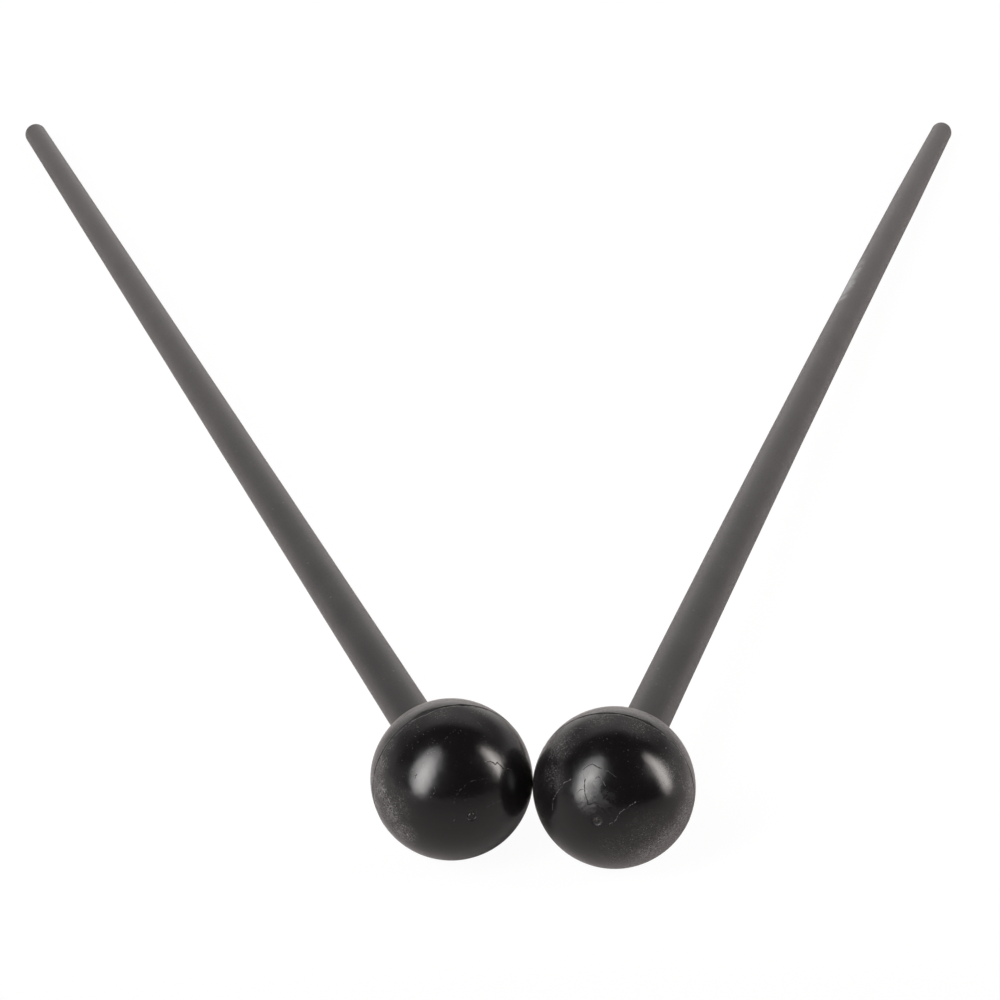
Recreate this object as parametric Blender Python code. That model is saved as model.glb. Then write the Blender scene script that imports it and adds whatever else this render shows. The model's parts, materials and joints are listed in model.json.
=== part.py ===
# A pair of xylophone mallets that lie on a table in a V, with their heads side by side.
# Each mallet is modelled in a frame of its own: the origin is the middle of its head, and +Y runs
# along the shaft to the free end. The pair rests on z = 0, with the origin in the middle of its outline.

import math

import bmesh
import bpy

# Lengths are in metres and angles in degrees

# Whole mallet
MALLET_LENGTH = 0.375  # from the crown of the head to the free end of the shaft
SEAT_GAP = 0.0003  # clearance between two pieces that seat on each other

# Moulded rubber head
HEAD_DIAMETER = 0.0286
BORE_PAST_MIDDLE = 0.0055  # how far the blind bore runs past the middle of the head
BORE_CORNER = 0.0005  # chamfer round the floor of the bore
MOUTH_FLARE = 0.0004  # how far the edge of the mouth opens out
PARTING_WIDTH = 0.0003  # groove where the two halves of the mould met
PARTING_DEPTH = 0.00015
GATE_DIAMETER = 0.0016  # recess where the rubber entered the mould
GATE_DEPTH = 0.0002
GATE_NUB_DIAMETER = 0.0008  # torn stub that stands in the recess
GATE_NUB_HEIGHT = 0.00012

# Tapered shafts, each with its own thickness at three stations
LEFT_ROOT_DIAMETER = 0.0081  # at the shoulder, in the mouth of the head
LEFT_NOSE_DIAMETER = 0.00536
LEFT_TIP_DIAMETER = 0.0049  # of the round free end
LEFT_BOW = 0.0  # how far the middle of the shaft is bent to the left
RIGHT_ROOT_DIAMETER = 0.0084
RIGHT_NOSE_DIAMETER = 0.00572
RIGHT_TIP_DIAMETER = 0.00475
RIGHT_BOW = 0.00065
NOSE_LENGTH = 0.050  # from the free end to where the nose begins
SHOULDER_DEPTH = 0.0015  # how far the shoulder sits inside the mouth

# Spigot of the shaft, inside the head
SPIGOT_DIAMETER = 0.0070
SPIGOT_CHAMFER = 0.0005
GROOVE_COUNT = 4  # rings cut round the spigot for the cement to key into
GROOVE_PITCH = 0.0032
GROOVE_WIDTH = 0.0014
GROOVE_DEPTH = 0.00025

# Cement between spigot and bore
CEMENT_THICKNESS = 0.0003
BEAD_HEIGHT = 0.0005  # of the bead squeezed out at the mouth

# The pair on the table
SPLAY_ANGLE = 29.4  # between the two shafts
HEAD_LINE_SKEW = 7.5  # how far the right head lies in front of the left one
HEAD_GAP = 0.0002  # between the two heads

# Fineness of the facets
HEAD_SEGMENTS = 48
SHAFT_SEGMENTS = 36
CEMENT_SEGMENTS = 24
CROWN_STEPS = 12  # along the head from the gate to the parting line
BACK_STEPS = 10  # along the head from the parting line to the mouth
GROOVE_STEPS = 4
TAPER_STEPS = 8
NOSE_STEPS = 2
TIP_STEPS = 6
BEAD_STEPS = 3

LEFT = {
    "root": LEFT_ROOT_DIAMETER,
    "nose": LEFT_NOSE_DIAMETER,
    "tip": LEFT_TIP_DIAMETER,
    "bow": LEFT_BOW,
}
RIGHT = {
    "root": RIGHT_ROOT_DIAMETER,
    "nose": RIGHT_NOSE_DIAMETER,
    "tip": RIGHT_TIP_DIAMETER,
    "bow": RIGHT_BOW,
}

HEAD_RADIUS = HEAD_DIAMETER / 2
SPIGOT_RADIUS = SPIGOT_DIAMETER / 2
BOND = 2 * SEAT_GAP + CEMENT_THICKNESS  # from the shaft to the wall of the bore
BORE_RADIUS = SPIGOT_RADIUS + BOND
BORE_FLOOR = -BORE_PAST_MIDDLE
SPIGOT_END = BORE_FLOOR + BOND
MITRE = math.sqrt(2) - 1  # shift of a 45 degree corner when its sides are set off by 1


def clear_scene():
    for thing in list(bpy.data.objects):
        bpy.data.objects.remove(thing, do_unlink=True)


def finish(name, colour, roughness):
    material = bpy.data.materials.new(name)
    material.use_nodes = True
    shader = material.node_tree.nodes["Principled BSDF"]
    shader.inputs["Base Color"].default_value = (*colour, 1.0)
    shader.inputs["Roughness"].default_value = roughness
    shader.inputs["Metallic"].default_value = 0.0
    return material


# Profiles are lists of (place along the shaft, distance from its axis), from one pole to the other

def ball_arc(middle, radius, start, end, steps):
    """Points along a ball's outline, by their angle from the pole that faces away from the shaft."""
    angles = [start + (end - start) * step / steps for step in range(steps + 1)]
    return [(middle - radius * math.cos(angle), radius * math.sin(angle)) for angle in angles]


def spigot_wall(radius):
    """The grooved wall of the spigot, or the cement's wall that follows it at a larger radius."""
    arc_radius = (GROOVE_WIDTH ** 2 / 4 + GROOVE_DEPTH ** 2) / (2 * GROOVE_DEPTH)
    half_angle = math.asin(GROOVE_WIDTH / 2 / arc_radius)
    first = spigot_middle() - GROOVE_PITCH * (GROOVE_COUNT - 1) / 2
    points = []
    for groove in range(GROOVE_COUNT):
        for step in range(GROOVE_STEPS + 1):
            angle = half_angle * (2 * step / GROOVE_STEPS - 1)
            depth = GROOVE_DEPTH - arc_radius * (1 - math.cos(angle))
            points.append((first + groove * GROOVE_PITCH + arc_radius * math.sin(angle), radius - depth))
    return points


def spigot_middle():
    """Middle of the grooved length, which is the same in both mallets."""
    widest_root = max(LEFT["root"], RIGHT["root"])
    return (SPIGOT_END + mouth_places(widest_root)["shoulder"]) / 2


def mouth_places(root_diameter):
    """Places and radii round the mouth of the head, for a shaft of this thickness."""
    collar = root_diameter / 2 + BOND
    lip = collar + MOUTH_FLARE
    edge = math.sqrt(HEAD_RADIUS ** 2 - lip ** 2)
    shoulder = edge - SHOULDER_DEPTH
    return {"collar": collar, "lip": lip, "edge": edge, "shoulder": shoulder, "ledge": shoulder - BOND}


def head_profile(root_diameter):
    mouth = mouth_places(root_diameter)
    gate_radius = GATE_DIAMETER / 2
    nub_radius = GATE_NUB_DIAMETER / 2
    gate_angle = math.asin(gate_radius / HEAD_RADIUS)
    gate_floor = GATE_DEPTH - HEAD_RADIUS * math.cos(gate_angle)
    parting_angle = math.asin(PARTING_WIDTH / 2 / HEAD_RADIUS)
    lip_angle = math.pi - math.asin(mouth["lip"] / HEAD_RADIUS)
    crown = ball_arc(0, HEAD_RADIUS, gate_angle, math.pi / 2 - parting_angle, CROWN_STEPS)
    back = ball_arc(0, HEAD_RADIUS, math.pi / 2 + parting_angle, lip_angle, BACK_STEPS)
    gate = [
        (gate_floor - GATE_NUB_HEIGHT, 0),
        (gate_floor - GATE_NUB_HEIGHT, nub_radius - GATE_NUB_HEIGHT),
        (gate_floor, nub_radius),
        (gate_floor, gate_radius - GATE_DEPTH),
    ]
    parting = [(0, HEAD_RADIUS - PARTING_DEPTH)]
    bore = [
        (mouth["edge"] - MOUTH_FLARE, mouth["collar"]),
        (mouth["ledge"], mouth["collar"]),
        (mouth["ledge"], BORE_RADIUS),
        (BORE_FLOOR + BORE_CORNER, BORE_RADIUS),
        (BORE_FLOOR, BORE_RADIUS - BORE_CORNER),
        (BORE_FLOOR, 0),
    ]
    return gate + crown + parting + back + bore


def cement_profile(root_diameter):
    mouth = mouth_places(root_diameter)
    wall = SPIGOT_RADIUS + SEAT_GAP
    collar_wall = root_diameter / 2 + SEAT_GAP
    bead_foot = mouth["lip"] - SEAT_GAP * math.sqrt(2)
    inside = [
        (SPIGOT_END - SEAT_GAP, 0),
        (SPIGOT_END - SEAT_GAP, SPIGOT_RADIUS - SPIGOT_CHAMFER + SEAT_GAP * MITRE),
        (SPIGOT_END + SPIGOT_CHAMFER - SEAT_GAP * MITRE, wall),
    ]
    inside += spigot_wall(wall)
    inside += [(mouth["shoulder"] - SEAT_GAP, wall), (mouth["shoulder"] - SEAT_GAP, collar_wall)]
    bead = []
    for step in range(BEAD_STEPS + 1):
        angle = math.pi / 2 * (1 - step / BEAD_STEPS)
        out = (bead_foot - collar_wall) * math.cos(angle)
        bead.append((mouth["edge"] + BEAD_HEIGHT * math.sin(angle), collar_wall + out))
    outside = [
        (mouth["edge"] - MOUTH_FLARE + SEAT_GAP * MITRE, mouth["collar"] - SEAT_GAP),
        (mouth["ledge"] + SEAT_GAP, mouth["collar"] - SEAT_GAP),
        (mouth["ledge"] + SEAT_GAP, BORE_RADIUS - SEAT_GAP),
        (BORE_FLOOR + BORE_CORNER + SEAT_GAP * MITRE, BORE_RADIUS - SEAT_GAP),
        (BORE_FLOOR + SEAT_GAP, BORE_RADIUS - BORE_CORNER - SEAT_GAP * MITRE),
        (BORE_FLOOR + SEAT_GAP, 0),
    ]
    return inside + bead + outside


def tip_middle(tip_diameter):
    """Middle of the round free end, along the shaft from the middle of the head."""
    return MALLET_LENGTH - HEAD_RADIUS - tip_diameter / 2


def shaft_profile(root_diameter, nose_diameter, tip_diameter):
    shoulder = mouth_places(root_diameter)["shoulder"]
    nose = MALLET_LENGTH - HEAD_RADIUS - NOSE_LENGTH
    tip = tip_middle(tip_diameter)
    points = [
        (SPIGOT_END, 0),
        (SPIGOT_END, SPIGOT_RADIUS - SPIGOT_CHAMFER),
        (SPIGOT_END + SPIGOT_CHAMFER, SPIGOT_RADIUS),
    ]
    points += spigot_wall(SPIGOT_RADIUS)
    points.append((shoulder, SPIGOT_RADIUS))
    points += cone(shoulder, root_diameter / 2, nose, nose_diameter / 2, TAPER_STEPS)
    points += cone(nose, nose_diameter / 2, tip, tip_diameter / 2, NOSE_STEPS)[1:-1]
    points += ball_arc(tip, tip_diameter / 2, math.pi / 2, math.pi, TIP_STEPS)
    return points


def cone(start, start_radius, end, end_radius, steps):
    shares = [step / steps for step in range(steps + 1)]
    return [(start + (end - start) * s, start_radius + (end_radius - start_radius) * s) for s in shares]


def turn(name, profile, segments):
    """A closed solid of revolution about the shaft's axis."""
    body = bmesh.new()
    points = [body.verts.new((radius, place, 0)) for place, radius in profile]
    edges = [body.edges.new(pair) for pair in zip(points, points[1:])]
    bmesh.ops.spin(body, geom=points + edges, cent=(0, 0, 0), axis=(0, 1, 0),
                   angle=2 * math.pi, steps=segments, use_merge=True)
    bmesh.ops.remove_doubles(body, verts=body.verts, dist=1e-7)
    bmesh.ops.recalc_face_normals(body, faces=body.faces)
    mesh = bpy.data.meshes.new(name)
    body.to_mesh(mesh)
    body.free()
    mesh.shade_smooth()
    mesh.set_sharp_from_angle(angle=math.radians(35))
    return mesh


def bend(mesh, bow, root, tip):
    """Bends the shaft sideways between its root and its tip, most in the middle."""
    for vertex in mesh.vertices:
        share = min(max((vertex.co.y - root) / (tip - root), 0), 1)
        vertex.co.x -= bow * 4 * share * (1 - share)


def add_piece(name, profile, segments, material, mallet):
    mesh = turn(name, profile, segments)
    mesh.materials.append(material)
    piece = bpy.data.objects.new(name, mesh)
    piece.parent = mallet
    bpy.context.scene.collection.objects.link(piece)
    return piece


def make_shaft(side, sizes, mallet, material):
    profile = shaft_profile(sizes["root"], sizes["nose"], sizes["tip"])
    shaft = add_piece(side + "_shaft", profile, SHAFT_SEGMENTS, material, mallet)
    bend(shaft.data, sizes["bow"], mouth_places(sizes["root"])["shoulder"], tip_middle(sizes["tip"]))


def make_head(side, sizes, mallet, material):
    add_piece(side + "_head", head_profile(sizes["root"]), HEAD_SEGMENTS, material, mallet)


def make_cement(side, sizes, mallet, material):
    add_piece(side + "_cement", cement_profile(sizes["root"]), CEMENT_SEGMENTS, material, mallet)


def droop(tip_diameter):
    """Slope of a mallet that rests on its head and on its thinner free end."""
    return math.asin((HEAD_RADIUS - tip_diameter / 2) / tip_middle(tip_diameter))


def free_end(head, sign, tip_diameter):
    """Place on the table of the free end's middle, for a head at this place."""
    level = tip_middle(tip_diameter) * math.cos(droop(tip_diameter))
    half = math.radians(SPLAY_ANGLE / 2)
    return head[0] + sign * level * math.sin(half), head[1] + level * math.cos(half)


def head_places():
    """Places of the two heads on the table, with the origin in the middle of the pair's outline."""
    half_line = (HEAD_DIAMETER + HEAD_GAP) / 2
    skew = math.radians(HEAD_LINE_SKEW)
    right = (half_line * math.cos(skew), -half_line * math.sin(skew))
    left = (-right[0], -right[1])
    left_end = free_end(left, -1, LEFT["tip"])
    right_end = free_end(right, 1, RIGHT["tip"])
    middle_x = (left_end[0] - LEFT["tip"] / 2 + right_end[0] + RIGHT["tip"] / 2) / 2
    back = max(left_end[1] + LEFT["tip"] / 2, right_end[1] + RIGHT["tip"] / 2)
    front = min(left[1], right[1]) - HEAD_RADIUS
    middle_y = (front + back) / 2
    return [(x - middle_x, y - middle_y) for x, y in (left, right)]


def lay_mallet(side, head, sign, tip_diameter):
    """An empty in the middle of the head, turned so that its +Y runs down the shaft."""
    mallet = bpy.data.objects.new(side + "_mallet", None)
    mallet.location = (head[0], head[1], HEAD_RADIUS)
    mallet.rotation_euler = (-droop(tip_diameter), 0, -sign * math.radians(SPLAY_ANGLE / 2))
    bpy.context.scene.collection.objects.link(mallet)
    return mallet


def build():
    clear_scene()
    plastic = finish("charcoal_plastic", (0.085, 0.081, 0.080), 0.45)
    rubber = finish("black_rubber", (0.012, 0.012, 0.013), 0.28)
    glue = finish("amber_cement", (0.055, 0.040, 0.026), 0.35)
    left_place, right_place = head_places()
    for side, place, sign, sizes in (("left", left_place, -1, LEFT), ("right", right_place, 1, RIGHT)):
        mallet = lay_mallet(side, place, sign, sizes["tip"])
        make_shaft(side, sizes, mallet, plastic)
        make_head(side, sizes, mallet, rubber)
        make_cement(side, sizes, mallet, glue)
    bpy.context.view_layer.update()


build()
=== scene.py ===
# Looks of a pair of xylophone mallets: black rubber ball heads cemented on tapered charcoal shafts.
# Lengths are in metres. +Y runs from the heads to the free ends, and the table is at z = 0.

import json
import math

import bmesh
import bpy
from mathutils import Matrix, Vector, noise


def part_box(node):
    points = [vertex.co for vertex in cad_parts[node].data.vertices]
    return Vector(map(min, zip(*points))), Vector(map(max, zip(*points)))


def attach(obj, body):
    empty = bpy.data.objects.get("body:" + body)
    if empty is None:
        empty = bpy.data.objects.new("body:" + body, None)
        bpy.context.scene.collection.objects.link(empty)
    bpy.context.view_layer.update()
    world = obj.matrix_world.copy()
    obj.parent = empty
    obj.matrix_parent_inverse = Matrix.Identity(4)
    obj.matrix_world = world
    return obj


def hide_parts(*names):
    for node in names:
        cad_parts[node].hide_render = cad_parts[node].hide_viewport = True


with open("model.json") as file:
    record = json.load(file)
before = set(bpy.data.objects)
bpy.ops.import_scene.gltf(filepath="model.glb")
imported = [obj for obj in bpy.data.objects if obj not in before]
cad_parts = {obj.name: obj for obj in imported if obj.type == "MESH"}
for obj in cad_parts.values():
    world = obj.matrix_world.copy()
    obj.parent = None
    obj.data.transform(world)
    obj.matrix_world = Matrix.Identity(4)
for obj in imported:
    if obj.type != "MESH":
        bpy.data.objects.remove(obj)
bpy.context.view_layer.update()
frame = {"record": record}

mm = 0.001


# The camera stands where the photograph was taken from

camera = {
    "place": (-0.026762, -1.038569, 0.473137),
    "pitchDown": 24.869,  # degrees below the horizon
    "turn": 1.383,  # degrees to the right of +Y
    "lens": 201.89,  # mm
    "sensor": 36.0,  # mm
    "imageSize": 1000,  # pixels each way
}


def makeCamera():
    data = bpy.data.cameras.new("camera")
    data.lens = camera["lens"]
    data.sensor_width = camera["sensor"]
    data.clip_start = 0.05
    data.clip_end = 50
    eye = bpy.data.objects.new("camera", data)
    eye.location = camera["place"]
    eye.rotation_euler = (math.radians(90 - camera["pitchDown"]), 0, -math.radians(camera["turn"]))
    bpy.context.scene.collection.objects.link(eye)
    bpy.context.scene.camera = eye
    bpy.context.scene.view_settings.view_transform = "Standard"


# Where each mallet lies: its own frame has the origin in the middle of the head and +Y down the shaft

pair = {
    "malletLength": 375 * mm,  # from the crown of the head to the free end
    "gripShare": 0.75,  # the grip mount's place, as a share of the way to the free end's middle
}

shaftSizes = {
    "left": {"root": 8.1 * mm, "nose": 5.36 * mm, "tip": 4.9 * mm, "bow": 0.0},
    "right": {"root": 8.4 * mm, "nose": 5.72 * mm, "tip": 4.75 * mm, "bow": 0.65 * mm},
    "noseLength": 50 * mm,
    "segments": 96,
    "taperSteps": 110,
    "noseSteps": 24,
    "tipSteps": 14,
    "waviness": 0.02 * mm,  # unevenness left by the mould, from a little way past the root
    "wavinessStart": 3 * mm,
    "wavinessScale": 300,
    "wavinessStretch": 0.2,
}


def headRadius(side):
    low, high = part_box(side + "_head")
    return (high[2] - low[2]) / 2


def tipMiddle(side):
    return pair["malletLength"] - headRadius(side) - shaftSizes[side]["tip"] / 2


def malletFrame(side):
    grip = next(m for m in frame["record"]["mounts"] if m["name"] == side + "_grip")
    along = Vector(grip["axis"]).normalized()
    middle = Vector(grip["pos_m"]) - along * tipMiddle(side) * pair["gripShare"]
    across = along.cross(Vector((0, 0, 1))).normalized()
    up = across.cross(along)
    turned = Matrix((across, along, up)).transposed().to_4x4()
    return Matrix.Translation(middle) @ turned


def pixelRay(pixel):
    # The way the camera looks at a pixel of the photograph
    scale = camera["sensor"] / camera["lens"] / camera["imageSize"]
    half = camera["imageSize"] / 2
    ray = Vector(((pixel[0] - half) * scale, (half - pixel[1]) * scale, -1))
    return bpy.context.scene.camera.rotation_euler.to_matrix() @ ray


def ballPoint(side, pixel):
    # Where a pixel of the photograph falls on a head, as a unit vector in the mallet's own frame
    eye = bpy.context.scene.camera.location
    ray = pixelRay(pixel).normalized()
    place = malletFrame(side)
    offset = eye - place.translation
    along = -ray.dot(offset)
    spare = along ** 2 - offset.length_squared + headRadius(side) ** 2
    hit = eye + ray * (along - math.sqrt(max(spare, 0)))
    return (place.inverted() @ hit).normalized()


# Node helpers

def newFinish(name):
    material = bpy.data.materials.new(name)
    material.use_nodes = True
    return material.node_tree, material


def addNode(tree, kind, inputs=(), **settings):
    made = tree.nodes.new(kind)
    for key, value in settings.items():
        setattr(made, key, value)
    for key, value in dict(inputs).items():
        if isinstance(value, bpy.types.NodeSocket):
            tree.links.new(value, made.inputs[key])
        else:
            made.inputs[key].default_value = value
    return made


def maths(tree, operation, first, second=0.0, clamp=False):
    inputs = {0: first, 1: second}
    return addNode(tree, "ShaderNodeMath", inputs, operation=operation, use_clamp=clamp).outputs[0]


def times(tree, first, second):
    return maths(tree, "MULTIPLY", first, second)


def plus(tree, first, second):
    return maths(tree, "ADD", first, second)


def larger(tree, first, second):
    return maths(tree, "MAXIMUM", first, second)


def vectors(tree, operation, first, second=None, output="Vector"):
    inputs = {0: first} if second is None else {0: first, 1: second}
    return addNode(tree, "ShaderNodeVectorMath", inputs, operation=operation).outputs[output]


def axisOf(tree, where, axis):
    return addNode(tree, "ShaderNodeSeparateXYZ", {0: where}).outputs[axis]


def spots(tree, where, scale, channel=0):
    # A pattern of cells: how far each point is from its cell's middle, and a number for the cell
    cells = addNode(tree, "ShaderNodeTexVoronoi", {"Vector": where, "Scale": scale, "Randomness": 1.0})
    number = addNode(tree, "ShaderNodeSeparateColor", {0: cells.outputs["Color"]}).outputs[channel]
    return cells.outputs["Distance"], number


def stretch(tree, value, low, high, newLow=0.0, newHigh=1.0):
    inputs = {"Value": value, "From Min": low, "From Max": high, "To Min": newLow, "To Max": newHigh}
    return addNode(tree, "ShaderNodeMapRange", inputs, interpolation_type="SMOOTHSTEP").outputs[0]


def grain(tree, where, scale, detail=2.0, roughness=0.5, shift=0.0):
    inputs = {"Vector": where, "Scale": scale, "Detail": detail, "Roughness": roughness, "W": shift}
    return addNode(tree, "ShaderNodeTexNoise", inputs, noise_dimensions="4D").outputs[0]


def blendColours(tree, share, first, second):
    inputs = {"Factor": share, "A": first, "B": second}
    node = tree.nodes.new("ShaderNodeMix")
    node.data_type = "RGBA"
    for key, value in inputs.items():
        socket = next(s for s in node.inputs if s.name == key and s.enabled)
        if isinstance(value, bpy.types.NodeSocket):
            tree.links.new(value, socket)
        else:
            socket.default_value = value
    return next(s for s in node.outputs if s.enabled)


def grey(level):
    return (level, level, level, 1.0)


def malletCoordinates(tree, side, size=1.0):
    # Object coordinates moved into the mallet's own frame
    place = malletFrame(side)
    coordinates = addNode(tree, "ShaderNodeTexCoord").outputs["Object"]
    inputs = {
        "Vector": coordinates,
        "Location": place.translation,
        "Rotation": place.to_euler(),
        "Scale": (size, size, size),
    }
    return addNode(tree, "ShaderNodeMapping", inputs, vector_type="TEXTURE").outputs[0]


# Studio: a white sweep behind, a dark room in front and above, and two softboxes

studio = {
    "sweepTop": 66.0,  # degrees of elevation where the white sweep ends, behind the mallets
    "sweepSoft": 0.10,
    "sweepBands": (10.0, 30.0, 48.0),  # degrees of elevation: foot level up to, middle at, top level from
    "sweepFootLevel": 1.05,
    "sweepMiddleLevel": 0.37,
    "sweepTopLevel": 0.62,
    "sweepEnds": 0.5,  # the sweep is that much dimmer towards its two ends
    "sweepTurn": (0.25, 0.65),  # shares of the way round between which it gets dimmer
    "wallLevel": 0.4,  # pale walls low down at the sides
    "wallStart": (-0.45, -0.05),
    "wallFade": (0.10, 0.45),
    "warmth": (1.0, 0.955, 0.945, 1.0),
    "roomLevel": 0.02,
    "floorSize": 10.0,
    "floorBack": (0.84, 0.80, 0.80, 1.0),  # the sheet on the table behind the heads, and in front of them
    "floorFront": (0.345, 0.315, 0.325, 1.0),
    "floorTurn": (-0.27, -0.10),  # between these places along Y it goes from one to the other
    "floorGlow": 0.90,  # share of plain white in what the camera sees of the floor
    "floorWhite": 1.06,
    "fadeStart": 0.35,  # where the floor starts to turn plain white, from the middle of the pair
    "fadeEnd": 0.8,
}

softboxes = {
    "left softbox": {
        "direction": (-0.62, -0.58, 0.52),
        "distance": 1.3,
        "size": (0.82, 1.85),
        "power": 30.0,
        "hotSpot": (0.5, 0.42),
        "colour": (1.0, 0.985, 0.975),
    },
    "right softbox": {
        "direction": (0.906, -0.157, 0.394),
        "distance": 1.3,
        "size": (0.48, 1.5),
        "power": 15.0,
        "hotSpot": (0.5, 0.5),
        "colour": (1.0, 0.945, 0.915),
    },
}


def makeWorld():
    world = bpy.data.worlds.new("studio")
    bpy.context.scene.world = world
    world.use_nodes = True
    tree = world.node_tree
    tree.nodes.clear()
    direction = addNode(tree, "ShaderNodeTexCoord").outputs["Generated"]
    height = axisOf(tree, direction, "Z")
    # The white sweep, by elevation and towards its ends
    bright, dim, high = [math.sin(math.radians(band)) for band in studio["sweepBands"]]
    rise = studio["sweepTopLevel"] - studio["sweepMiddleLevel"]
    lit = stretch(tree, height, bright, dim, studio["sweepFootLevel"], studio["sweepMiddleLevel"])
    lit = plus(tree, lit, stretch(tree, height, dim, high, 0.0, rise))
    aside = maths(tree, "ABSOLUTE", axisOf(tree, direction, "X"))
    lit = times(tree, lit, stretch(tree, aside, *studio["sweepTurn"], 1.0, studio["sweepEnds"]))
    top = math.radians(studio["sweepTop"])
    facing = vectors(tree, "DOT_PRODUCT", direction, (0, math.sin(top), -math.cos(top)), "Value")
    sweep = times(tree, stretch(tree, facing, -studio["sweepSoft"], studio["sweepSoft"]), lit)
    walls = stretch(tree, axisOf(tree, direction, "Y"), *studio["wallStart"], 0.0, studio["wallLevel"])
    walls = times(tree, walls, stretch(tree, height, *studio["wallFade"], 1.0, 0.0))
    glow = plus(tree, larger(tree, sweep, walls), studio["roomLevel"])
    room = addNode(tree, "ShaderNodeBackground", {"Color": studio["warmth"], "Strength": glow})
    plain = addNode(tree, "ShaderNodeBackground", {"Color": grey(1.0), "Strength": 1.0})
    seen = addNode(tree, "ShaderNodeLightPath").outputs["Is Camera Ray"]
    mixed = addNode(tree, "ShaderNodeMixShader", {0: seen, 1: room.outputs[0], 2: plain.outputs[0]})
    addNode(tree, "ShaderNodeOutputWorld", {"Surface": mixed.outputs[0]})


def makeFloor():
    shape = bmesh.new()
    bmesh.ops.create_grid(shape, x_segments=1, y_segments=1, size=studio["floorSize"] / 2)
    mesh = bpy.data.meshes.new("table")
    shape.to_mesh(mesh)
    shape.free()
    floor = bpy.data.objects.new("table", mesh)
    bpy.context.scene.collection.objects.link(floor)
    tree, material = newFinish("white table")
    tree.nodes.clear()
    where = addNode(tree, "ShaderNodeTexCoord").outputs["Object"]
    turning = stretch(tree, axisOf(tree, where, "Y"), *studio["floorTurn"])
    sheet = blendColours(tree, turning, studio["floorFront"], studio["floorBack"])
    diffuse = addNode(tree, "ShaderNodeBsdfDiffuse", {"Color": sheet})
    glow = addNode(tree, "ShaderNodeEmission", {"Color": grey(1.0), "Strength": studio["floorWhite"]})
    away = vectors(tree, "LENGTH", where, output="Value")
    fade = stretch(tree, away, studio["fadeStart"], studio["fadeEnd"], studio["floorGlow"], 1.0)
    seen = addNode(tree, "ShaderNodeLightPath").outputs["Is Camera Ray"]
    share = times(tree, seen, fade)
    mixed = addNode(tree, "ShaderNodeMixShader", {0: share, 1: diffuse.outputs[0], 2: glow.outputs[0]})
    addNode(tree, "ShaderNodeOutputMaterial", {"Surface": mixed.outputs[0]})
    mesh.materials.append(material)


# The cloth of a softbox glows most in its middle: places from the hot spot, and the glow there
cloth = {"reach": (0.05, 0.55), "glow": (1.5, 0.35)}


def makeSoftboxes():
    heads = (malletFrame("left").translation + malletFrame("right").translation) / 2
    for name, box in softboxes.items():
        data = bpy.data.lights.new(name, "AREA")
        data.shape = "ELLIPSE"
        data.size, data.size_y = box["size"]
        data.energy = box["power"]
        data.color = box["colour"]
        data.use_nodes = True
        tree = data.node_tree
        across = addNode(tree, "ShaderNodeNewGeometry").outputs["Parametric"]
        away = vectors(tree, "DISTANCE", across, (*box["hotSpot"], 0.0), "Value")
        glow = stretch(tree, away, *cloth["reach"], *cloth["glow"])
        tree.nodes["Emission"].inputs["Strength"].default_value = 1.0
        tree.links.new(glow, tree.nodes["Emission"].inputs["Strength"])
        lamp = bpy.data.objects.new(name, data)
        direction = Vector(box["direction"]).normalized()
        lamp.location = heads + direction * box["distance"]
        lamp.rotation_euler = direction.to_track_quat("Z", "Y").to_euler()
        lamp.visible_camera = False
        bpy.context.scene.collection.objects.link(lamp)


# Turned shapes. A profile is a list of (place along the shaft, distance from its axis), pole to pole

joint = {
    "seatGap": 0.3 * mm,  # between two pieces that seat on each other
    "spigot": 7.0 * mm,
    "spigotChamfer": 0.5 * mm,
    "grooves": 4,
    "groovePitch": 3.2 * mm,
    "grooveWidth": 1.4 * mm,
    "grooveDepth": 0.25 * mm,
    "grooveSteps": 8,
    "cement": 0.3 * mm,
    "boreFloor": -5.5 * mm,
    "boreCorner": 0.5 * mm,
    "mouthFlare": 0.4 * mm,
    "shoulderDepth": 1.5 * mm,
    "bead": 0.5 * mm,
    "beadSteps": 8,
    "beadSag": 0.6,  # how unevenly the bead stands out
    "beadScale": 4.0,
    "segments": 120,
}
joint["bond"] = 2 * joint["seatGap"] + joint["cement"]
joint["spigotEnd"] = joint["boreFloor"] + joint["bond"]
mitre = math.sqrt(2) - 1  # shift of a 45 degree corner when its sides are set off by 1


def arc(middle, radius, start, end, steps):
    # Points of a round outline, by their angle from the pole that faces away from the shaft
    angles = [start + (end - start) * step / steps for step in range(steps + 1)]
    return [(middle - radius * math.cos(angle), radius * math.sin(angle)) for angle in angles]


def mouthPlaces(side):
    collar = shaftSizes[side]["root"] / 2 + joint["bond"]
    lip = collar + joint["mouthFlare"]
    edge = math.sqrt(headRadius(side) ** 2 - lip ** 2)
    shoulder = edge - joint["shoulderDepth"]
    return {"collar": collar, "lip": lip, "edge": edge, "shoulder": shoulder,
            "ledge": shoulder - joint["bond"]}


def spigotWall(radius):
    # The grooved wall of the spigot, or the cement's wall that follows it at a larger radius
    arcRadius = (joint["grooveWidth"] ** 2 / 4 + joint["grooveDepth"] ** 2) / (2 * joint["grooveDepth"])
    halfAngle = math.asin(joint["grooveWidth"] / 2 / arcRadius)
    widest = max(("left", "right"), key=lambda side: shaftSizes[side]["root"])
    middle = (joint["spigotEnd"] + mouthPlaces(widest)["shoulder"]) / 2
    points = []
    for groove in range(joint["grooves"]):
        place = middle + joint["groovePitch"] * (groove - (joint["grooves"] - 1) / 2)
        for step in range(joint["grooveSteps"] + 1):
            angle = halfAngle * (2 * step / joint["grooveSteps"] - 1)
            depth = joint["grooveDepth"] - arcRadius * (1 - math.cos(angle))
            points.append((place + arcRadius * math.sin(angle), radius - depth))
    return points


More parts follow.
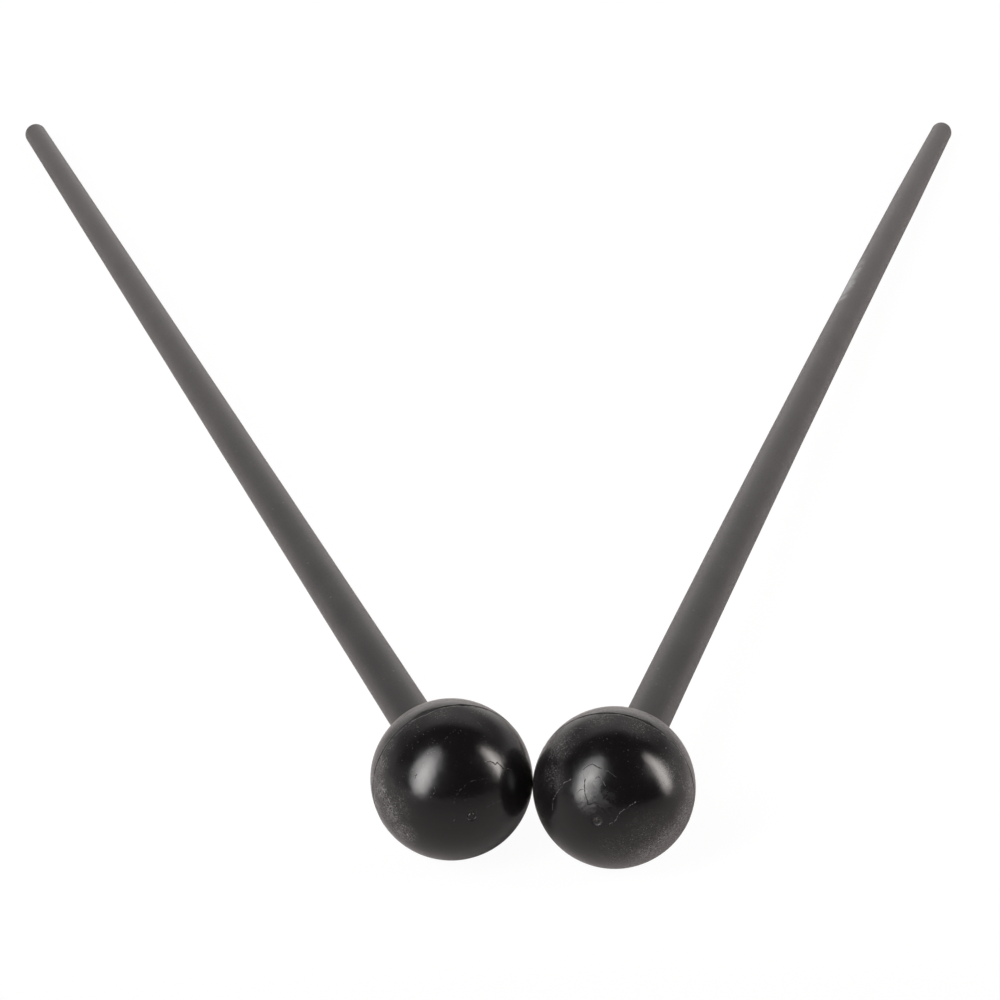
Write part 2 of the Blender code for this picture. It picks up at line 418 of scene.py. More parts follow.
def cone(start, startRadius, end, endRadius, steps):
    shares = [step / steps for step in range(steps + 1)]
    return [(start + (end - start) * s, startRadius + (endRadius - startRadius) * s) for s in shares]


def turn(profile, steps, cuts=0):
    # A solid of revolution about the shaft's axis, with each of its steps divided by some cuts
    shape = bmesh.new()
    points = [shape.verts.new((radius, place, 0)) for place, radius in profile]
    edges = [shape.edges.new(ends) for ends in zip(points, points[1:])]
    bmesh.ops.spin(shape, geom=points + edges, cent=(0, 0, 0), axis=(0, 1, 0),
                   angle=2 * math.pi, steps=steps, use_merge=True)
    bmesh.ops.remove_doubles(shape, verts=shape.verts, dist=1e-7)
    if cuts:
        hoops = [e for e in shape.edges if abs(e.verts[0].co.y - e.verts[1].co.y) < 1e-8
                 and abs(e.verts[0].co.xz.length - e.verts[1].co.xz.length) < 1e-7]
        bmesh.ops.subdivide_edges(shape, edges=hoops, cuts=cuts, use_grid_fill=True)
    bmesh.ops.recalc_face_normals(shape, faces=shape.faces)
    return shape


def finishPiece(shape, name, side, material, sharpAngle):
    # Lays the shape in its mallet's place and hands it to the frame
    shape.transform(malletFrame(side))
    mesh = bpy.data.meshes.new(name)
    shape.to_mesh(mesh)
    shape.free()
    mesh.shade_smooth()
    mesh.set_sharp_from_angle(angle=math.radians(sharpAngle))
    mesh.materials.append(material)
    piece = bpy.data.objects.new(name, mesh)
    bpy.context.scene.collection.objects.link(piece)
    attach(piece, side + "_mallet")
    return piece


# Heads: moulded rubber balls with a parting line, a gate mark and a cemented bore

headShape = {
    "skin": 0.995,  # share of the radius past which a point belongs to the outside
    "spinSteps": 72,
    "cuts": 4,
    "inset": 0.025 * mm,  # room for the flash to stand proud inside the ball's own size
    "lumps": 0.02 * mm,  # slow unevenness of the ball
    "lumpScale": 2.2,
    "touch": 0.115 * mm,  # fullness where the two heads touch
    "touchReach": 3.5 * mm,
    "orangePeel": 0.006 * mm,
    "peelScale": 14.0,
    "highest": -0.002 * mm,  # nothing stands out of the ball's own size by more
    "lineReach": 1.2 * mm,  # the parting line shapes nothing farther off than this
    "lineWander": 0.10 * mm,  # how far the parting line strays
    "wanderScale": 3.0,
    "raggedScale": 9.0,
    "grooveDepth": 0.13 * mm,
    "grooveWidth": 0.19 * mm,
    "tearDepth": 0.34 * mm,  # where flash was torn out of the parting line
    "tearScale": 30.0,
    "flashHeight": 0.05 * mm,
    "flashPlace": 0.40 * mm,
    "flashWidth": 0.14 * mm,
    "flashScale": 14.0,
    "scuffScale": 17.0,  # pale rubbed bits on the flash
    "halfStep": 0.05 * mm,  # the half at the shaft is that much smaller
    "halfStepWidth": 0.05 * mm,
}

# Places along the parting line where flash was torn out: photograph pixel, reach in mm, share of depth
tears = {
    "left": (((425.8, 713.2), 2.0, 1.0), ((461.5, 704.9), 0.7, 0.9), ((400.0, 733.0), 1.6, 0.35),
             ((502.8, 717.6), 1.8, 0.5)),
    "right": (((555.0, 738.0), 1.6, 0.5), ((604.0, 712.5), 1.4, 0.5), ((648.0, 722.0), 1.2, 0.6),
              ((674.0, 741.0), 1.4, 0.5)),
}

gates = {
    "left": {"pixel": (471.7, 816.3), "radius": 0.68 * mm, "ringWidth": 0.18 * mm, "ringDepth": 0.21 * mm,
             "plug": 0.0 * mm, "ripple": 0.004 * mm, "rough": 0.01 * mm},
    "right": {"pixel": (596.5, 820.4), "radius": 0.62 * mm, "ringWidth": 0.32 * mm, "ringDepth": 0.15 * mm,
              "plug": 0.08 * mm, "ripple": 0.014 * mm, "rough": 0.16 * mm},
}


def bump(distance, width):
    return math.exp(-(distance / width) ** 2)


def ringAngles(lipAngle):
    # Rings lie closer together at the gate and at the parting line
    bands = ((0.0, 12.0, 36), (12.0, 86.0, 104), (86.0, 94.0, 46), (94.0, math.degrees(lipAngle), 72))
    angles = [math.radians(0.0)]
    for start, end, steps in bands:
        angles += [math.radians(start + (end - start) * (step + 1) / steps) for step in range(steps)]
    return angles


def headProfile(side):
    mouth = mouthPlaces(side)
    radius = headRadius(side)
    bore = joint["spigot"] / 2 + joint["bond"]
    outside = [(-radius * math.cos(a), radius * math.sin(a))
               for a in ringAngles(math.pi - math.asin(mouth["lip"] / radius))]
    outside[0] = (-radius, 0.0)
    inside = [
        (mouth["edge"] - joint["mouthFlare"], mouth["collar"]),
        (mouth["ledge"], mouth["collar"]),
        (mouth["ledge"], bore),
        (joint["boreFloor"] + joint["boreCorner"], bore),
        (joint["boreFloor"], bore - joint["boreCorner"]),
        (joint["boreFloor"], 0.0),
    ]
    return outside + inside


def partingRelief(spot, radius, tearSpots):
    # Height, painted shade in the parting groove, and pale scuffs round the parting line
    look = headShape
    around = Vector((spot.x, 0.0, spot.z)).normalized()
    wander = look["lineWander"] * noise.noise(around * look["wanderScale"] + Vector((0, 5, 0)))
    place = math.asin(max(-1.0, min(1.0, spot.y))) * radius - wander
    if abs(place) > look["lineReach"]:
        return (-look["halfStep"] if place > 0 else 0.0), 0.0, 0.0
    ragged = 0.5 + 0.5 * noise.noise(around * look["raggedScale"])
    torn = 0.0
    for tearSpot, reach, share in tearSpots:
        torn = max(torn, share * bump((spot - tearSpot).length * radius, reach * mm))
    torn *= 0.7 + 0.3 * noise.noise(around * look["tearScale"])
    width = look["grooveWidth"] * (0.7 + 0.5 * ragged + 1.9 * torn)
    depth = look["grooveDepth"] * (0.45 + ragged) + look["tearDepth"] * torn
    height = -depth * bump(place, width)
    flash = max(0.0, noise.noise(around * look["flashScale"] + Vector((2, 0, 7)))) * 1.8
    nearFlash = bump(place + look["flashPlace"], look["flashWidth"])
    farFlash = bump(place - look["flashPlace"], look["flashWidth"])
    height += look["flashHeight"] * flash * nearFlash
    height += look["flashHeight"] * 0.7 * ragged * farFlash
    height -= look["halfStep"] * (1 / (1 + math.exp(-place / look["halfStepWidth"])))
    # Painted shade: the groove is darkened in the colour, widest where flash was torn out
    grooveShadeAndDirt = bump(place, width * 1.25) * min(1.0, 0.35 + 0.75 * ragged + 1.4 * torn)
    scuffed = max(0.0, noise.noise(around * look["scuffScale"] + Vector((4, 4, 1))) + 0.12) * 2.2
    return height, grooveShadeAndDirt, min(1.0, scuffed * nearFlash)


# The flow rings round a gate mark
ripples = {
    "reach": 7 * mm,
    "middle": 2.2 * mm,
    "spread": 2.4 * mm,
    "pitch": 0.17 * mm,
    "bend": 0.8 * mm,
}


def gateRelief(side, spot, radius, gateSpot):
    # Height, and the dark ring round the gate mark: painted shade in its groove, with some dirt
    gate = gates[side]
    away = (spot - gateSpot).length * radius
    if away > ripples["reach"]:
        return 0.0, 0.0
    ring = bump(away - gate["radius"], gate["ringWidth"])
    height = gate["plug"] * bump(away, 0.5 * gate["radius"]) - gate["ringDepth"] * ring
    height += gate["rough"] * noise.noise(spot * 90.0) * bump(away, gate["radius"])
    bent = away + ripples["bend"] * noise.noise(spot * 4.5 + Vector((3, 1, 4)))
    strength = bump(away - ripples["middle"], ripples["spread"])
    strength *= max(0.0, 0.5 + 0.9 * noise.noise(spot * 3.6 + Vector((8, 0, 2))))
    strength *= max(0.0, 0.5 + 1.6 * noise.noise(spot * 12.0 + Vector((0, 3, 9))))
    height += gate["ripple"] * strength * math.sin(bent / ripples["pitch"])
    uneven = 0.9 + 0.9 * noise.noise(spot * 40.0 + Vector((1, 6, 0)))
    # Painted shade with some dirt: the ring groove is darkened in the colour
    return height, ring * max(0.0, min(1.0, uneven))


def headRelief(side, spot, radius, tearSpots, touchSpot, gateSpot):
    height = -headShape["inset"]
    height += headShape["lumps"] * noise.noise(spot * headShape["lumpScale"] + Vector((len(side), 0, 0)))
    height += headShape["orangePeel"] * noise.noise(spot * headShape["peelScale"])
    partingHeight, partingShade, scuff = partingRelief(spot, radius, tearSpots)
    gateHeight, gateShadeAndDirt = gateRelief(side, spot, radius, gateSpot)
    height = min(height + partingHeight + gateHeight, headShape["highest"])
    height += headShape["touch"] * bump((spot - touchSpot).length * radius, headShape["touchReach"])
    return height, max(partingShade, gateShadeAndDirt), scuff


def makeHead(side, material):
    radius = headRadius(side)
    shape = turn(headProfile(side), headShape["spinSteps"], headShape["cuts"])
    tearSpots = [(ballPoint(side, pixel), reach, share) for pixel, reach, share in tears[side]]
    other = {"left": "right", "right": "left"}[side]
    touchSpot = (malletFrame(side).inverted() @ malletFrame(other).translation).normalized()
    gateSpot = ballPoint(side, gates[side]["pixel"])
    grooveShadeAndDirtLayer = shape.verts.layers.float.new("grooveShadeAndDirt")
    scuffLayer = shape.verts.layers.float.new("scuff")
    for point in shape.verts:
        if point.co.length > radius * headShape["skin"]:
            spot = point.co.normalized()
            height, grooveShadeAndDirt, scuff = headRelief(side, spot, radius, tearSpots, touchSpot, gateSpot)
            point.co = spot * (radius + height)
            point[grooveShadeAndDirtLayer] = grooveShadeAndDirt
            point[scuffLayer] = scuff
    head = finishPiece(shape, side + "_ball_head", side, material, 40)
    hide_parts(side + "_head")


# Shafts: one moulded rod each, thick at the head, with a round free end

def shaftProfile(side):
    sizes = shaftSizes[side]
    shoulder = mouthPlaces(side)["shoulder"]
    nose = pair["malletLength"] - headRadius(side) - shaftSizes["noseLength"]
    tip = tipMiddle(side)
    wall = joint["spigot"] / 2
    points = [
        (joint["spigotEnd"], 0.0),
        (joint["spigotEnd"], wall - joint["spigotChamfer"]),
        (joint["spigotEnd"] + joint["spigotChamfer"], wall),
    ]
    points += spigotWall(wall)
    points.append((shoulder, wall))
    points += cone(shoulder, sizes["root"] / 2, nose, sizes["nose"] / 2, shaftSizes["taperSteps"])
    points += cone(nose, sizes["nose"] / 2, tip, sizes["tip"] / 2, shaftSizes["noseSteps"])[1:-1]
    points += arc(tip, sizes["tip"] / 2, math.pi / 2, math.pi, shaftSizes["tipSteps"])
    return points


def makeShaft(side, material):
    sizes = {**shaftSizes, **shaftSizes[side]}
    shape = turn(shaftProfile(side), sizes["segments"])
    root = mouthPlaces(side)["shoulder"]
    tip = tipMiddle(side)
    for point in shape.verts:
        if point.co.y > root + sizes["wavinessStart"] and point.co.y < tip:
            drawn = Vector((point.co.x, point.co.y * sizes["wavinessStretch"], point.co.z))
            uneven = noise.noise(drawn * sizes["wavinessScale"])
            out = Vector((point.co.x, 0, point.co.z)).normalized()
            point.co += out * sizes["waviness"] * (uneven - 1)
        share = min(max((point.co.y - root) / (tip - root), 0.0), 1.0)
        point.co.x -= sizes["bow"] * 4 * share * (1 - share)
    shaft = finishPiece(shape, side + "_tapered_shaft", side, material, 35)
    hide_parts(side + "_shaft")


# Cement: a sleeve round the spigot with a bead squeezed out at the mouth of the head

def cementProfile(side):
    mouth = mouthPlaces(side)
    gap = joint["seatGap"]
    wall = joint["spigot"] / 2 + gap
    bore = joint["spigot"] / 2 + joint["bond"]
    collarWall = shaftSizes[side]["root"] / 2 + gap
    beadFoot = mouth["lip"] - gap * math.sqrt(2)
    points = [
        (joint["spigotEnd"] - gap, 0.0),
        (joint["spigotEnd"] - gap, joint["spigot"] / 2 - joint["spigotChamfer"] + gap * mitre),
        (joint["spigotEnd"] + joint["spigotChamfer"] - gap * mitre, wall),
    ]
    points += spigotWall(wall)
    points += [(mouth["shoulder"] - gap, wall), (mouth["shoulder"] - gap, collarWall)]
    for step in range(joint["beadSteps"] + 1):
        angle = math.pi / 2 * (1 - step / joint["beadSteps"])
        out = (beadFoot - collarWall) * math.cos(angle)
        points.append((mouth["edge"] + joint["bead"] * math.sin(angle), collarWall + out))
    points += [
        (mouth["edge"] - joint["mouthFlare"] + gap * mitre, mouth["collar"] - gap),
        (mouth["ledge"] + gap, mouth["collar"] - gap),
        (mouth["ledge"] + gap, bore - gap),
        (joint["boreFloor"] + joint["boreCorner"] + gap * mitre, bore - gap),
        (joint["boreFloor"] + gap, bore - joint["boreCorner"] - gap * mitre),
        (joint["boreFloor"] + gap, 0.0),
    ]
    return points


def makeCement(side, material):
    shape = turn(cementProfile(side), joint["segments"])
    edge = mouthPlaces(side)["edge"]
    for point in shape.verts:
        if point.co.y > edge:
            around = Vector((point.co.x, 0, point.co.z)).normalized()
            sag = joint["beadSag"] * (0.5 + 0.5 * noise.noise(around * joint["beadScale"]))
            point.co.y -= (point.co.y - edge) * sag
    cement = finishPiece(shape, side + "_cement_bead", side, material, 50)
    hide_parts(side + "_cement")


# Finishes

rubber = {
    "colour": (0.0044, 0.0038, 0.0041, 1.0),
    "dustColour": (0.30, 0.292, 0.288, 1.0),
    "dustCover": 0.85,
    # near-black for the dark hairlines, and for the painted shade in the parting groove and gate ring
    "darkMarkAndShadeColour": (0.001, 0.001, 0.001, 1.0),
    "gloss": 0.19,  # roughness of the clean rubber
    "dustGloss": 0.75,
    "refraction": 1.5,
    "bloom": 0.13,  # sheen of the fine dust that lies everywhere
    "bloomSpread": 0.35,
    "bloomTint": (1.0, 0.95, 0.91, 1.0),
    "fineScale": 34.0,  # scales are per head radius
    "streakScale": 14.0,
    "cloudScale": 5.0,
    "speckScale": 44.0,
    "powderScale": 46.0,
    "speckBand": (-0.80, -0.30),  # from the crown to the parting line, in head radii, the specks get denser
    "capBand": (0.08, 0.48),  # beyond the parting line the dust gets denser; it also paints in the lighter reflection of the white backdrop on the cap
    "capDustAndReflectionLevel": 0.50,
    "relief": 0.012 * mm,
    "plugColour": (0.060, 0.045, 0.030, 1.0),  # torn rubber in the right gate mark
    "plugReach": 0.75 * mm,
}

# Dust and bloom: photograph pixel, reach in mm, strength
dust = {
    "left": (((380, 790), 3.4, 1.3), ((389, 812), 4.2, 1.3), ((402, 832), 4.4, 1.0),
             ((381, 765), 3.2, 0.8), ((388, 745), 3.0, 0.35), ((410, 724), 3.0, 0.25),
             ((440, 712), 3.4, 0.3), ((480, 710), 3.4, 0.25), ((376, 805), 4.2, 1.0),
             ((384, 828), 4.2, 1.0), ((373, 780), 3.0, 0.9), ((394, 805), 5.5, 0.35)),
    "right": (((668, 840), 5.8, 1.7), ((650, 853), 5.8, 1.5), ((684, 818), 4.8, 1.4),
              ((692, 790), 4.4, 1.1), ((650, 836), 7.5, 0.30), ((684, 750), 4.4, 0.55),
              ((560, 745), 5.0, 0.5), ((600, 716), 5.0, 0.5), ((622, 852), 7.5, 0.25),
              ((672, 770), 5.0, 0.3), ((553, 775), 4.4, 0.3), ((640, 725), 5.0, 0.35)),
}

# Hairlines: photograph pixels along each one, width in mm, how dark (below 0) or pale (above 0) it is
hairlines = {
    "left": (
        (((485.5, 762.5), (490.1, 761.0), (495.9, 764.6), (497.0, 762.3), (500.5, 765.8), (504.5, 769.4)),
         0.16, -1.0),
        (((504.5, 769.4), (508.0, 768.6), (512.0, 769.6)), 0.14, 0.5),
        (((484.5, 761.0), (489.5, 763.5), (494.0, 767.5)), 0.16, 0.5),
        (((477.5, 722.1), (482.1, 725.6)), 0.12, 0.45),
        (((443.1, 714.7), (445.2, 715.4), (447.7, 713.5)), 0.16, 0.5),
        (((411.5, 729.6), (415.5, 726.7), (419.0, 727.3)), 0.16, 0.45),
        (((486.7, 778.4), (468.3, 781.8), (458.0, 792.0), (452.3, 804.8)), 0.14, 0.12),
        (((502.8, 800.2), (494.0, 803.0), (485.5, 808.2)), 0.14, 0.12),
        (((429.3, 800.2), (435.5, 791.0), (433.9, 786.4)), 0.12, 0.25),
        (((385.7, 794.5), (388.2, 799.0), (389.7, 802.5)), 0.26, 0.8),
        (((384.6, 803.0), (386.2, 806.0), (388.6, 808.2)), 0.28, 0.7),
        (((376.0, 767.0), (378.5, 757.0), (383.0, 748.0), (389.0, 740.0)), 0.22, 0.55),
        (((375.5, 779.0), (376.5, 770.0)), 0.2, 0.35),
        (((454.0, 821.4), (455.7, 819.2)), 0.16, 0.35),
        (((470.5, 811.8), (474.5, 811.6)), 0.2, -0.8),
        (((413.5, 776.5), (416.5, 774.5), (414.5, 778.5)), 0.12, -0.7),
    ),
    "right": (
        (((583.1, 769.2), (587.7, 765.2), (592.3, 764.4), (598.0, 766.9), (601.5, 768.5)), 0.15, -1.0),
        (((605.0, 771.5), (608.4, 771.5), (612.4, 774.0), (616.4, 777.2)), 0.14, -0.6),
        (((595.7, 778.4), (599.2, 777.2), (602.6, 781.8), (604.9, 785.3)), 0.16, -0.8),
        (((584.8, 779.0), (584.3, 786.0), (585.0, 793.3), (587.9, 804.0)), 0.16, -1.0),
        (((577.4, 792.1), (580.5, 789.4), (583.6, 789.8)), 0.14, -0.8),
        (((587.7, 804.8), (592.0, 803.8), (598.0, 803.4), (603.0, 805.4)), 0.2, -0.8),
        (((552.1, 810.5), (553.3, 799.0), (556.5, 793.6), (561.3, 787.6), (565.0, 782.0), (570.5, 779.5)),
         0.16, 0.42),
        (((609.0, 824.4), (614.2, 821.6), (617.6, 817.6), (620.0, 812.6), (623.3, 810.0), (629.0, 806.5),
          (635.9, 801.5)), 0.18, 0.5),
        (((680.7, 776.1), (682.4, 783.0), (684.1, 789.8)), 0.2, 0.6),
        (((664.6, 748.5), (666.9, 748.2)), 0.2, 0.7),
        (((563.0, 737.5), (574.0, 728.0), (588.0, 729.0)), 0.16, 0.3),
        (((561.5, 745.5), (572.0, 735.5), (586.0, 734.6)), 0.16, 0.25),
        (((551.0, 747.5), (560.5, 742.2), (570.0, 739.6)), 0.18, 0.35),
    ),
}


# Places where the rubber is smeared and so less glossy: photograph pixel, reach in mm, strength
smears = {
    "right": (((594, 790), 2.6, 0.30), ((588, 806), 2.6, 0.35), ((604, 800), 3.0, 0.30),
              ((583, 775), 1.6, 0.15)),
}

hairlineShares = {"pale": 0.55, "dark": 0.75}  # how much of its width a hairline is drawn with


def hairlineGroup():
    # How near a point on the unit ball is to the short arc from Start to End, as a mask
    group = bpy.data.node_groups.new("hairline", "ShaderNodeTree")
    for name in ("Where", "Start", "End"):
        group.interface.new_socket(name, in_out="INPUT", socket_type="NodeSocketVector")
    group.interface.new_socket("Width", in_out="INPUT", socket_type="NodeSocketFloat")
    group.interface.new_socket("Mask", in_out="OUTPUT", socket_type="NodeSocketFloat")
    given = group.nodes.new("NodeGroupInput").outputs
    where, start, end, width = [given[name] for name in ("Where", "Start", "End", "Width")]
    along = vectors(group, "SUBTRACT", end, start)
    normal = vectors(group, "NORMALIZE", vectors(group, "CROSS_PRODUCT", start, end))
    aside = maths(group, "ABSOLUTE", vectors(group, "DOT_PRODUCT", where, normal, "Value"))
    halfSize = times(group, vectors(group, "LENGTH", along, output="Value"), 0.5)
    run = vectors(group, "DOT_PRODUCT", vectors(group, "SUBTRACT", where, start),
                  vectors(group, "NORMALIZE", along), "Value")
    past = maths(group, "ABSOLUTE", maths(group, "SUBTRACT", run, halfSize))
    past = larger(group, maths(group, "SUBTRACT", past, halfSize), 0.0)
    mask = stretch(group, plus(group, aside, past), times(group, width, 0.15), width, 1.0, 0.0)
    facing = vectors(group, "DOT_PRODUCT", where, start, "Value")
    mask = times(group, mask, maths(group, "GREATER_THAN", facing, 0.0))
    addNode(group, "NodeGroupOutput", {"Mask": mask})
    return group


def drawHairlines(tree, side, where, group, pale):
    share = hairlineShares["pale" if pale else "dark"] * mm / headRadius(side)
    total = None
    for pixels, width, strength in hairlines[side]:
        if (strength > 0) != pale:
            continue
        points = [ballPoint(side, pixel) for pixel in pixels]
        for start, end in zip(points, points[1:]):
            line = tree.nodes.new("ShaderNodeGroup")
            line.node_tree = group
            tree.links.new(where, line.inputs["Where"])
            line.inputs["Start"].default_value = start
            line.inputs["End"].default_value = end
            line.inputs["Width"].default_value = width * share
            mask = times(tree, line.outputs["Mask"], abs(strength))
            total = mask if total is None else larger(tree, total, mask)
    return total


def dabs(tree, side, where, marks):
    radius = headRadius(side)
    total = None
    for pixel, reach, strength in marks:
        away = vectors(tree, "DISTANCE", where, ballPoint(side, pixel), "Value")
        soft = stretch(tree, away, 0.0, reach * mm / radius, strength, 0.0)
        total = soft if total is None else larger(tree, total, soft)
    return total


def wiggled(tree, where, scale, amount):
    # The same coordinates, shaken a little so that drawn marks look natural
    shake = addNode(tree, "ShaderNodeTexNoise", {"Vector": where, "Scale": scale, "Detail": 2.0})
    centred = vectors(tree, "SUBTRACT", shake.outputs["Color"], (0.5, 0.5, 0.5))
    inputs = {0: centred, 1: (amount, amount, amount), 2: where}
    return addNode(tree, "ShaderNodeVectorMath", inputs, operation="MULTIPLY_ADD").outputs[0]


def rubberFinish(side, group):
    tree, material = newFinish(side + " black rubber")
    shader = tree.nodes["Principled BSDF"]
    where = malletCoordinates(tree, side, headRadius(side))
    along = axisOf(tree, where, "Y")
    shaken = wiggled(tree, wiggled(tree, where, 14.0, 0.035), 40.0, 0.022)
    fine = grain(tree, where, rubber["fineScale"], 5.0, 0.85, 1.0)
    streaky = grain(tree, wiggled(tree, where, 5.0, 0.3), rubber["streakScale"], 5.0, 0.7, 6.0)
    coarse = grain(tree, where, rubber["cloudScale"], 3.0, 0.6, 2.0)
    # Single specks
    away, number = spots(tree, shaken, rubber["speckScale"])
    sparse = times(tree, stretch(tree, number, 0.72, 0.95), stretch(tree, coarse, 0.35, 0.6, 0.3, 1.0))
    sparse = times(tree, sparse, stretch(tree, along, *rubber["speckBand"], 0.25, 1.0))
    speck = times(tree, stretch(tree, away, 0.04, 0.25, 1.0, 0.0), sparse)
    # Powdery and streaky dust in patches
    away, number = spots(tree, shaken, rubber["powderScale"], 1)
    powder = times(tree, stretch(tree, number, 0.50, 0.95), stretch(tree, away, 0.12, 0.50, 1.0, 0.0))
    powder = times(tree, powder, stretch(tree, streaky, 0.36, 0.56, 0.35, 1.0))
    streaks = times(tree, stretch(tree, fine, 0.44, 0.64), stretch(tree, streaky, 0.40, 0.58, 0.25, 1.0))
    mottled = larger(tree, times(tree, streaks, 0.6), times(tree, powder, 1.6))
    dustAndCapReflection = times(tree, dabs(tree, side, where, dust[side]), plus(tree, mottled, 0.08))
    # Pale hairlines, the specks, the dust and the painted backdrop reflection beyond the parting line, and
    # the scuffs along it
    broken = stretch(tree, grain(tree, where, 30.0, 3.0, 0.7, 9.0), 0.44, 0.58, 0.05, 1.0)
    dustAndCapReflection = larger(tree, dustAndCapReflection, times(tree, drawHairlines(tree, side, shaken, group, True), broken))
    dustAndCapReflection = larger(tree, dustAndCapReflection, times(tree, speck, 0.7))
    # Painted reflection mixed with dust: the cap is lightened with the dust colour to stand in for the
    # backdrop's grazing reflection
    capDustAndReflection = stretch(tree, along, *rubber["capBand"], 0.0, rubber["capDustAndReflectionLevel"])
    capDustAndReflection = times(tree, capDustAndReflection, stretch(tree, fine, 0.3, 0.7, 0.35, 1.0))
    capDustAndReflection = times(tree, capDustAndReflection, stretch(tree, streaky, 0.3, 0.6, 0.5, 1.0))
    dustAndCapReflection = larger(tree, dustAndCapReflection, capDustAndReflection)
    scuff = addNode(tree, "ShaderNodeAttribute", attribute_name="scuff").outputs["Fac"]
    dustAndCapReflection = larger(tree, dustAndCapReflection, times(tree, scuff, broken))
    # Dark hairlines, and painted shade in the parting-line groove and in the gate ring, where there is some
    # dirt too
    dark = drawHairlines(tree, side, shaken, group, False)
    dark = times(tree, dark, stretch(tree, fine, 0.36, 0.52, 0.35, 1.0))
    grooveShadeAndDirt = addNode(tree, "ShaderNodeAttribute", attribute_name="grooveShadeAndDirt").outputs["Fac"]
    dark = larger(tree, dark, grooveShadeAndDirt)
    cover = times(tree, dustAndCapReflection, rubber["dustCover"])
    colour = blendColours(tree, cover, rubber["colour"], rubber["dustColour"])
    smudge = stretch(tree, coarse, 0.3, 0.7, -0.02, 0.05)
    if side == "right":
        fromGate = vectors(tree, "DISTANCE", shaken, ballPoint(side, gates[side]["pixel"]), "Value")
        plug = stretch(tree, fromGate, 0.0, rubber["plugReach"] / headRadius(side), 1.0, 0.0)
        plug = times(tree, plug, stretch(tree, fine, 0.40, 0.60))
        colour = blendColours(tree, plug, colour, rubber["plugColour"])
        smudge = plus(tree, smudge, times(tree, plug, 0.5))
    if side in smears:
        smeared = times(tree, dabs(tree, side, shaken, smears[side]), stretch(tree, streaky, 0.35, 0.6))
        smudge = plus(tree, smudge, smeared)
    colour = blendColours(tree, dark, colour, rubber["darkMarkAndShadeColour"])
    tree.links.new(colour, shader.inputs["Base Color"])
    rough = times(tree, dustAndCapReflection, rubber["dustGloss"] - rubber["gloss"])
    rough = plus(tree, plus(tree, rough, rubber["gloss"]), smudge)
    rough = maths(tree, "ADD", rough, times(tree, dark, 0.5), clamp=True)
    tree.links.new(rough, shader.inputs["Roughness"])
    shader.inputs["IOR"].default_value = rubber["refraction"]
    shader.inputs["Sheen Weight"].default_value = rubber["bloom"]
    shader.inputs["Sheen Roughness"].default_value = rubber["bloomSpread"]
    shader.inputs["Sheen Tint"].default_value = rubber["bloomTint"]
    lift = plus(tree, times(tree, fine, 0.30), times(tree, dustAndCapReflection, 0.5))
    lift = maths(tree, "SUBTRACT", lift, times(tree, dark, 2.0))
    relief = addNode(tree, "ShaderNodeBump", {"Strength": 0.5, "Distance": rubber["relief"], "Height": lift})
    tree.links.new(relief.outputs[0], shader.inputs["Normal"])
    return material


plastic = {
    "colour": (0.017, 0.0162, 0.0162, 1.0),  # at the head
    "paintedTipLightColour": (0.070, 0.066, 0.065, 1.0),  # at the free end: a painted lighter tone in place of the reflections that brighten the shaft towards its free end
    "speckColour": (0.16, 0.15, 0.13, 1.0),
    "rubColour": (0.46, 0.46, 0.48, 1.0),
    "rubCover": 0.9,
    "gloss": (0.32, 0.42),  # least and most roughness
    "refraction": 1.47,
    "bloom": 0.16,
    "bloomSpread": 0.3,
    "bloomTint": (1.0, 0.95, 0.92, 1.0),
    "cloudScale": 90.0,  # scales are per metre
    "fineScale": 2600.0,
    "speckScale": 900.0,
    "relief": 0.02 * mm,
}

# The pale rubbed patch: photograph pixels of its middle line, and its width
rubbed = {"right": {"pixels": ((866, 262), (836, 318)), "width": 1.5 * mm}}


def shaftPoint(side, pixel):
    # Where a pixel's ray passes closest to a shaft's axis, in the mallet's own frame
    place = malletFrame(side).inverted()
    ray = (place.to_3x3() @ pixelRay(pixel)).normalized()
    start = place @ bpy.context.scene.camera.location
    flat = Vector((ray.x, 0, ray.z))
    nearest = -Vector((start.x, 0, start.z)).dot(flat) / flat.length_squared
    return start + ray * nearest


def rubbedPatch(tree, side, where):
    first, last = [shaftPoint(side, pixel) for pixel in rubbed[side]["pixels"]]
    width = rubbed[side]["width"]
    offset = vectors(tree, "SUBTRACT", where, (first + last) / 2)
    squeezed = vectors(tree, "MULTIPLY", offset, (1 / width, 2 / (last - first).length, 0.6 / width))
    away = vectors(tree, "LENGTH", squeezed, output="Value")
    away = plus(tree, away, stretch(tree, grain(tree, where, 350.0, 2.0, 0.5, 7.0), 0.3, 0.7, -0.15, 0.15))
    return stretch(tree, away, 0.45, 1.25, plastic["rubCover"], 0.0)


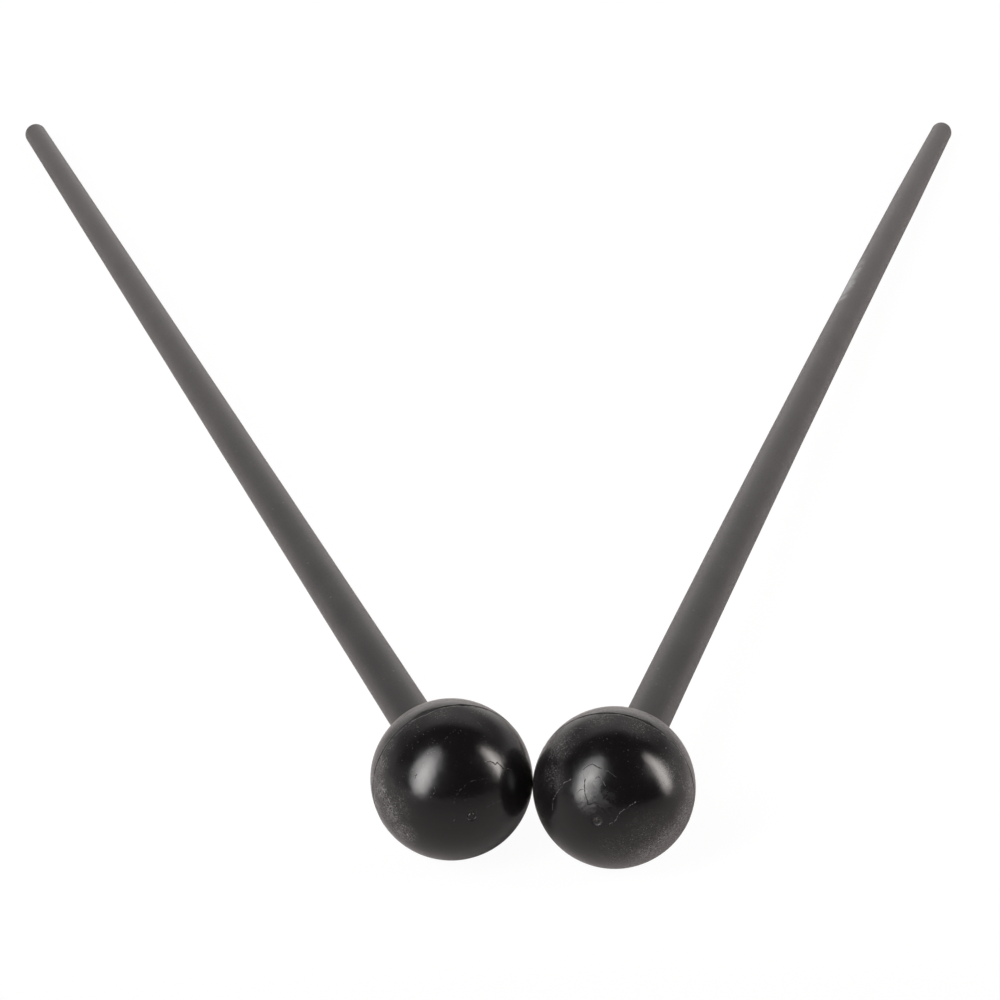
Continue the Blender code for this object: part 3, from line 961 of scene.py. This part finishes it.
def plasticFinish(side):
    tree, material = newFinish(side + " charcoal plastic")
    shader = tree.nodes["Principled BSDF"]
    where = malletCoordinates(tree, side)
    cloudy = grain(tree, where, plastic["cloudScale"], 3.0, 0.6, 3.0)
    fine = grain(tree, where, plastic["fineScale"], 3.0, 0.6, 4.0)
    # Painted light: the colour gets lighter towards the free end in place of the reflections there, with
    # random cloudy tone on top
    tipLightShare = stretch(tree, axisOf(tree, where, "Y"), 0.0, tipMiddle(side))
    tipLightShare = maths(tree, "ADD", tipLightShare, stretch(tree, cloudy, 0.25, 0.75, -0.12, 0.12), clamp=True)
    colour = blendColours(tree, tipLightShare, plastic["colour"], plastic["paintedTipLightColour"])
    away, number = spots(tree, where, plastic["speckScale"])
    speck = times(tree, stretch(tree, away, 0.10, 0.28, 0.5, 0.0), stretch(tree, number, 0.93, 0.96))
    colour = blendColours(tree, speck, colour, plastic["speckColour"])
    if side in rubbed:
        colour = blendColours(tree, rubbedPatch(tree, side, where), colour, plastic["rubColour"])
    tree.links.new(colour, shader.inputs["Base Color"])
    tree.links.new(stretch(tree, fine, 0.3, 0.7, *plastic["gloss"]), shader.inputs["Roughness"])
    shader.inputs["IOR"].default_value = plastic["refraction"]
    shader.inputs["Sheen Weight"].default_value = plastic["bloom"]
    shader.inputs["Sheen Roughness"].default_value = plastic["bloomSpread"]
    shader.inputs["Sheen Tint"].default_value = plastic["bloomTint"]
    relief = addNode(tree, "ShaderNodeBump", {"Strength": 0.3, "Distance": plastic["relief"], "Height": fine})
    tree.links.new(relief.outputs[0], shader.inputs["Normal"])
    return material


amber = {
    "deepColour": (0.030, 0.022, 0.014, 1.0),
    "paleColour": (0.085, 0.062, 0.040, 1.0),
    "scale": 900.0,
    "gloss": (0.25, 0.45),
    "relief": 0.05 * mm,
}


def cementFinish():
    tree, material = newFinish("amber cement")
    shader = tree.nodes["Principled BSDF"]
    where = addNode(tree, "ShaderNodeTexCoord").outputs["Object"]
    cloudy = grain(tree, where, amber["scale"], 3.0, 0.6, 5.0)
    colour = blendColours(tree, cloudy, amber["deepColour"], amber["paleColour"])
    tree.links.new(colour, shader.inputs["Base Color"])
    tree.links.new(stretch(tree, cloudy, 0.3, 0.7, *amber["gloss"]), shader.inputs["Roughness"])
    relief = addNode(tree, "ShaderNodeBump", {"Strength": 0.4, "Distance": amber["relief"], "Height": cloudy})
    tree.links.new(relief.outputs[0], shader.inputs["Normal"])
    return material


makeCamera()
makeWorld()
makeFloor()
makeSoftboxes()
print("studio ready")
cement = cementFinish()
hairline = hairlineGroup()
for side in ("left", "right"):
    makeHead(side, rubberFinish(side, hairline))
    makeShaft(side, plasticFinish(side))
    makeCement(side, cement)
    print(side, "mallet dressed")
